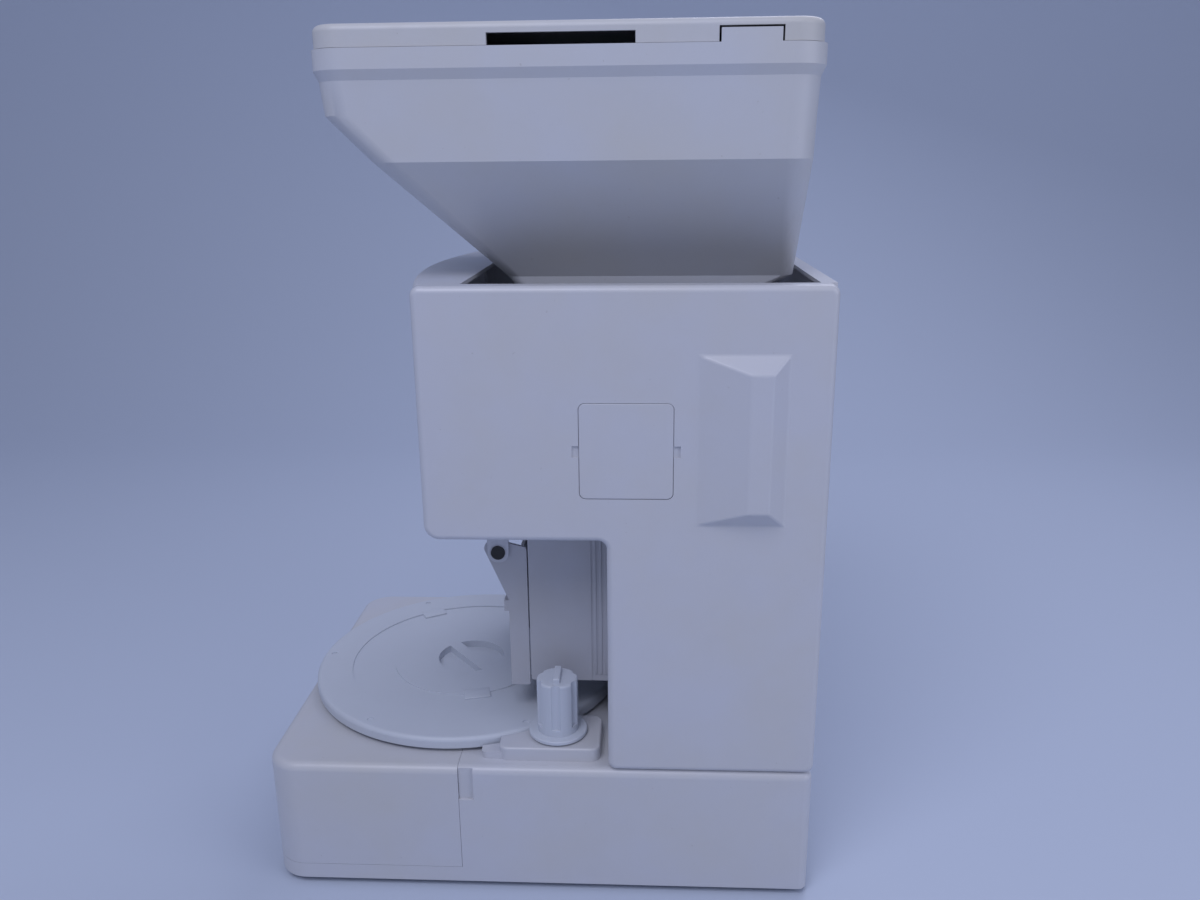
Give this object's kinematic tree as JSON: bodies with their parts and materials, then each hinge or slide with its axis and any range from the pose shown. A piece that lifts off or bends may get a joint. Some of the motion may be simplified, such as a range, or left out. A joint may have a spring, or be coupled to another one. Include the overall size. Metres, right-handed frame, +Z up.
{
  "type": "rice ball forming machine",
  "caption": "Table-top machine that forms rice balls: lidded hopper over feed rollers and forming drums, with a turntable in front that carries the balls out.",
  "frame": {"origin": "under the middle of the machine's box, on the table", "axes": "+Z up, +X towards the rear, -Y is the side seen in the picture"},
  "size_m": [0.461, 0.362, 0.694],
  "materials": {
    "white_plastic": "satin",
    "hopper_plastic": "satin",
    "lid_plastic": "satin",
    "milky_plastic": "milky",
    "forming_plastic": "satin",
    "steel": "brushed",
    "nylon": "natural",
    "motor_metal": "satin",
    "black_plastic": "matt",
    "rubber": "matt",
    "board": "lacquered",
    "window": "gloss",
    "start_key": "satin",
    "stop_key": "satin"
  },
  "bodies": {
    "chassis": {"base_pan": "white_plastic", "bottom_plate": "steel", "rubber_feet": "rubber", "front_cover": "white_plastic", "knob_platform": "white_plastic", "right_side_cover": "white_plastic", "left_side_cover": "white_plastic", "front_panel": "white_plastic", "display_window": "window", "overhang_floor": "white_plastic", "guard_pins": "black_plastic", "column_front_wall": "white_plastic", "rear_cover": "white_plastic", "right_frame_plate": "steel", "left_frame_plate": "steel", "frame_spacers": "steel", "hopper_seat": "steel", "roller_bearings": "steel", "feed_motor": "motor_metal", "rice_chute": "milky_plastic", "right_forming_plate": "forming_plastic", "left_forming_plate": "forming_plastic", "drum_bearings": "steel", "forming_motor": "motor_metal", "turntable_pedestal": "motor_metal", "turntable_motor": "motor_metal", "control_board": "board", "power_supply": "motor_metal", "power_inlet": "black_plastic", "rocker_frame": "black_plastic", "cover_screws": "steel"},
    "hopper": {"hopper_shell": "hopper_plastic", "hopper_bushes": "nylon"},
    "lid": {"hopper_lid": "lid_plastic"},
    "agitator": {"agitator_shaft": "steel", "agitator_arms": "steel", "agitator_gear": "nylon"},
    "feed_front": {"feed_front_roller": "milky_plastic", "feed_front_shaft": "steel", "feed_front_gear": "nylon"},
    "feed_rear": {"feed_rear_roller": "milky_plastic", "feed_rear_shaft": "steel", "feed_rear_gear": "nylon"},
    "drum_front": {"front_drum": "milky_plastic", "front_drum_shaft": "steel", "front_drum_gear": "nylon"},
    "drum_rear": {"rear_drum": "milky_plastic", "rear_drum_shaft": "steel", "rear_drum_gear": "nylon"},
    "turntable": {"turntable_disc": "milky_plastic", "turntable_spindle": "steel", "turntable_gear": "nylon"},
    "pinion": {"turntable_pinion": "steel"},
    "knob": {"lock_knob": "milky_plastic", "knob_spindle": "steel"},
    "hatch": {"hatch_cover": "white_plastic"},
    "guard": {"forming_guard": "forming_plastic"},
    "start": {"start_button": "start_key"},
    "stop": {"stop_button": "stop_key"},
    "rocker": {"power_rocker": "black_plastic"}
  },
  "joints": [
    {"name": "hopper_lift", "type": "slide", "parent": "chassis", "child": "hopper", "axis": [0, 0, 1], "range_m": [0, 0.25]},
    {"name": "lid_lift", "type": "slide", "parent": "hopper", "child": "lid", "axis": [0, 0, 1], "range_m": [0, 0.12]},
    {"name": "feed_rear_spin", "type": "hinge", "parent": "chassis", "child": "feed_rear", "pos_m": [0.08, 0, 0.42], "axis": [0, 1, 0], "continuous": true},
    {"name": "feed_front_spin", "type": "hinge", "parent": "chassis", "child": "feed_front", "pos_m": [0.01, 0, 0.42], "axis": [0, 1, 0], "continuous": true},
    {"name": "agitator_spin", "type": "hinge", "parent": "hopper", "child": "agitator", "pos_m": [0.08, 0, 0.485], "axis": [0, 1, 0], "continuous": true},
    {"name": "drum_rear_spin", "type": "hinge", "parent": "chassis", "child": "drum_rear", "pos_m": [0.076, 0, 0.212], "axis": [0, 1, 0], "continuous": true},
    {"name": "drum_front_spin", "type": "hinge", "parent": "chassis", "child": "drum_front", "pos_m": [0.014, 0, 0.212], "axis": [0, 1, 0], "continuous": true},
    {"name": "turntable_spin", "type": "hinge", "parent": "chassis", "child": "turntable", "pos_m": [-0.081, 0, 0.126], "axis": [0, 0, 1], "continuous": true},
    {"name": "pinion_spin", "type": "hinge", "parent": "chassis", "child": "pinion", "pos_m": [-0.021, 0, 0.074], "axis": [0, 0, 1], "continuous": true},
    {"name": "knob_turn", "type": "hinge", "parent": "chassis", "child": "knob", "pos_m": [0.0175, -0.131, 0.15], "axis": [0, 0, 1], "range_deg": [0, 90]},
    {"name": "hatch_pull", "type": "slide", "parent": "chassis", "child": "hatch", "axis": [0, -1, 0], "range_m": [0, 0.04]},
    {"name": "guard_swing", "type": "hinge", "parent": "chassis", "child": "guard", "pos_m": [-0.033, 0, 0.284], "axis": [0, 1, 0], "range_deg": [0, 75]},
    {"name": "start_press", "type": "slide", "parent": "chassis", "child": "start", "axis": [1, 0, 0], "range_m": [0, 0.003], "stiffness_N_per_m": 400},
    {"name": "stop_press", "type": "slide", "parent": "chassis", "child": "stop", "axis": [1, 0, 0], "range_m": [0, 0.003], "stiffness_N_per_m": 400},
    {"name": "rocker_tilt", "type": "hinge", "parent": "chassis", "child": "rocker", "pos_m": [0.224, 0.063, 0.17], "axis": [0, 1, 0], "range_deg": [-8, 8]}
  ],
  "couplings": [
    {"joint": "feed_front_spin", "follows": "feed_rear_spin", "ratio": -1},
    {"joint": "agitator_spin", "follows": "feed_rear_spin", "ratio": -1.1667},
    {"joint": "drum_front_spin", "follows": "drum_rear_spin", "ratio": -1},
    {"joint": "pinion_spin", "follows": "turntable_spin", "ratio": -3}
  ]
}
